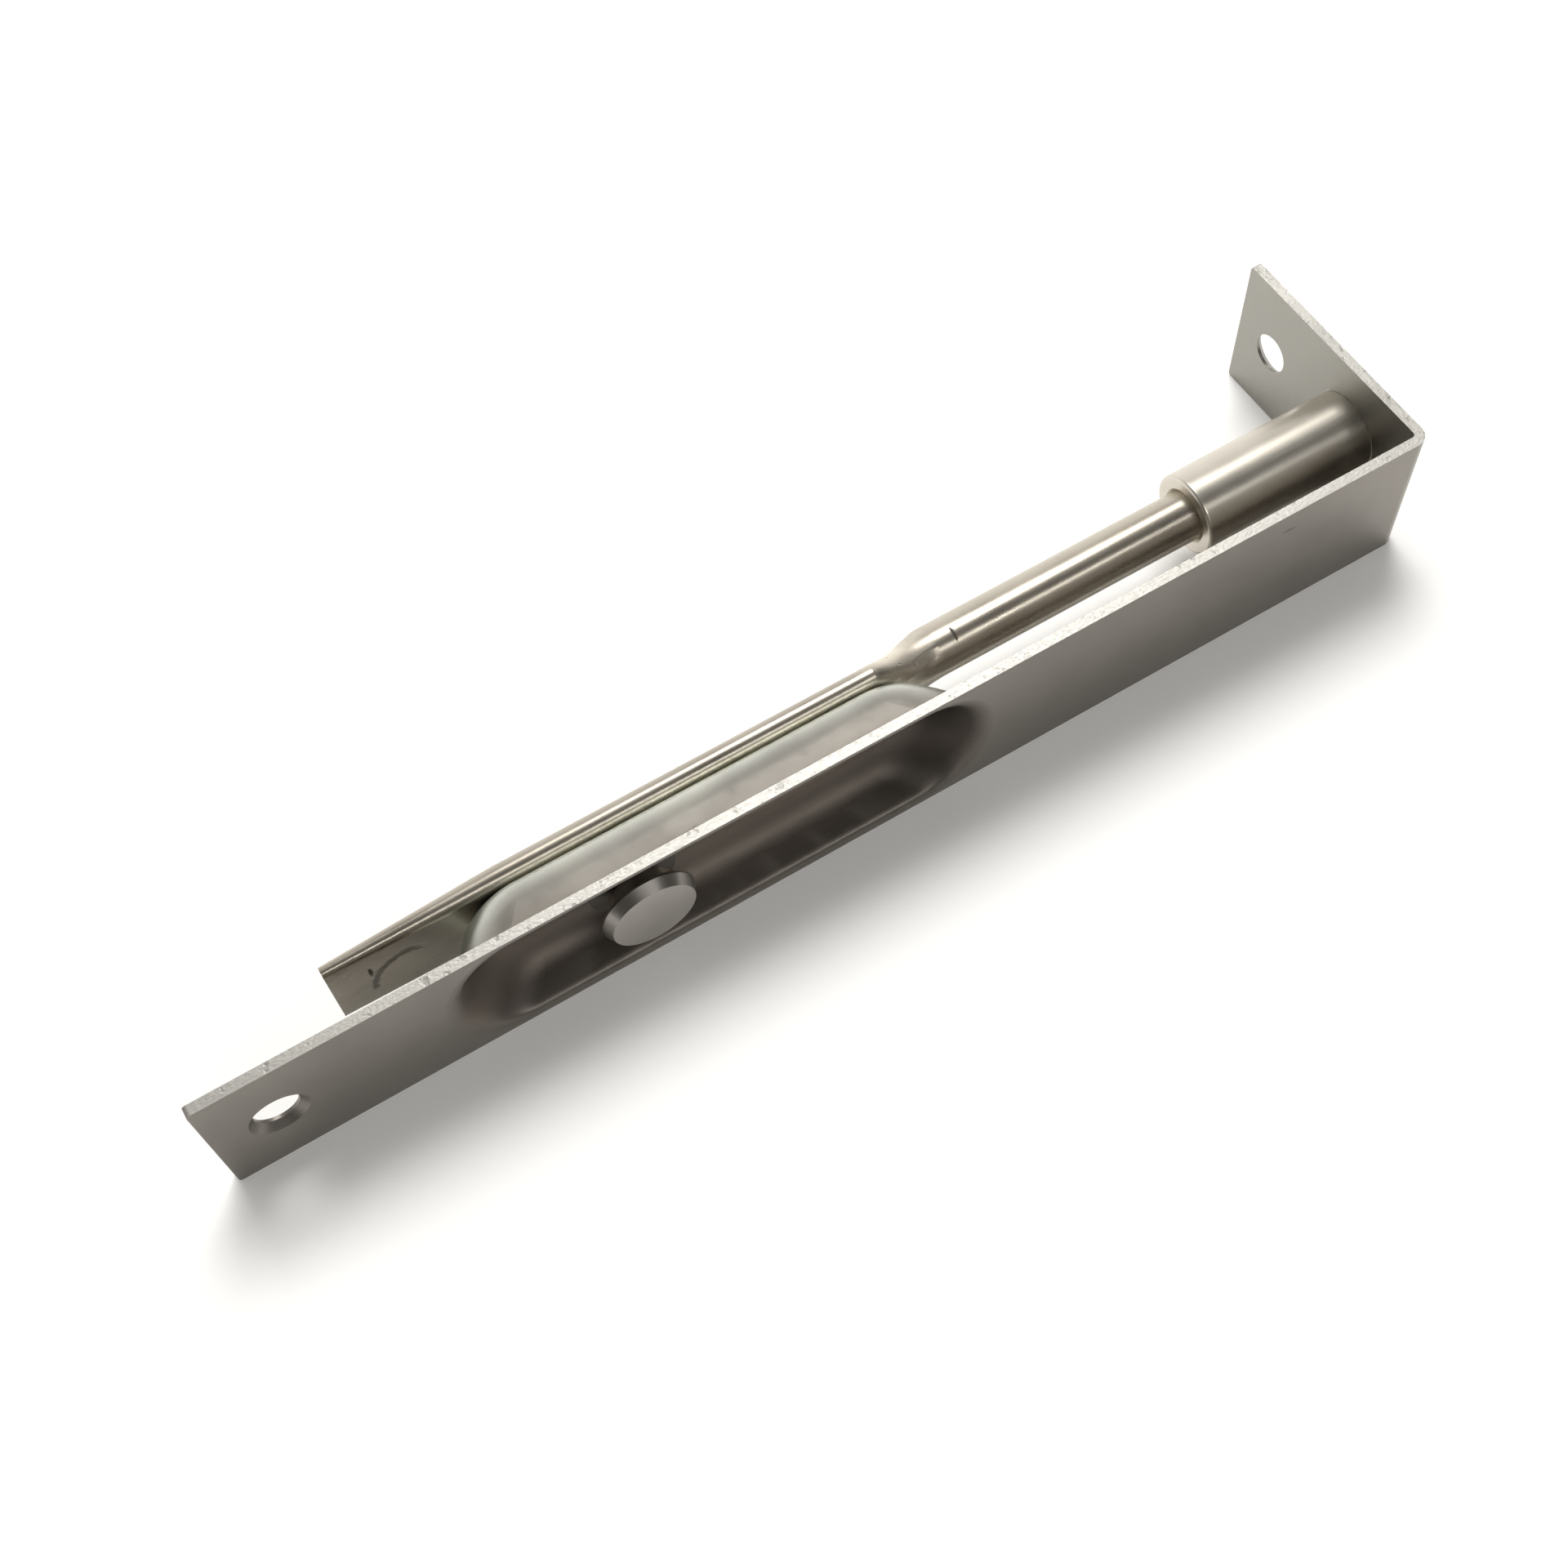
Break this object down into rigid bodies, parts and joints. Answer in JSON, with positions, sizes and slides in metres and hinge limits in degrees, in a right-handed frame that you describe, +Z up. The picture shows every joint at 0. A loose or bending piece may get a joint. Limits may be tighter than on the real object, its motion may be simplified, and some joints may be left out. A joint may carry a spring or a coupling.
{
  "type": "flush bolt",
  "caption": "Flush bolt for a door's edge: a bent faceplate with a pressed finger trough, and a sliding round-headed bolt of bar pressed flat behind the trough, moved by a knob riveted to it.",
  "frame": {"origin": "on the bolt's axis, in the plane of the flange's outer face", "axes": "+X along the bolt, the way it is thrown; +Y from the front of the faceplate to the bolt behind it; +Z up with the bolt standing on its long edges"},
  "size_m": [0.15, 0.0319, 0.019],
  "materials": {
    "satin_steel": "satin stainless steel sheet with bright sheared edges and a polished trough",
    "polished_bar": "polished bar with draw lines and press marks",
    "polished_steel": "polished turned steel",
    "turned_steel": "satin turned steel"
  },
  "bodies": {
    "plate": {"face_plate": "satin_steel"},
    "bolt": {"bolt_rod": "polished_bar", "bolt_head": "polished_steel", "knob": "turned_steel"}
  },
  "joints": [
    {"name": "bolt_slide", "type": "slide", "parent": "plate", "child": "bolt", "axis": [1, 0, 0], "range_m": [0, 0.02]}
  ]
}
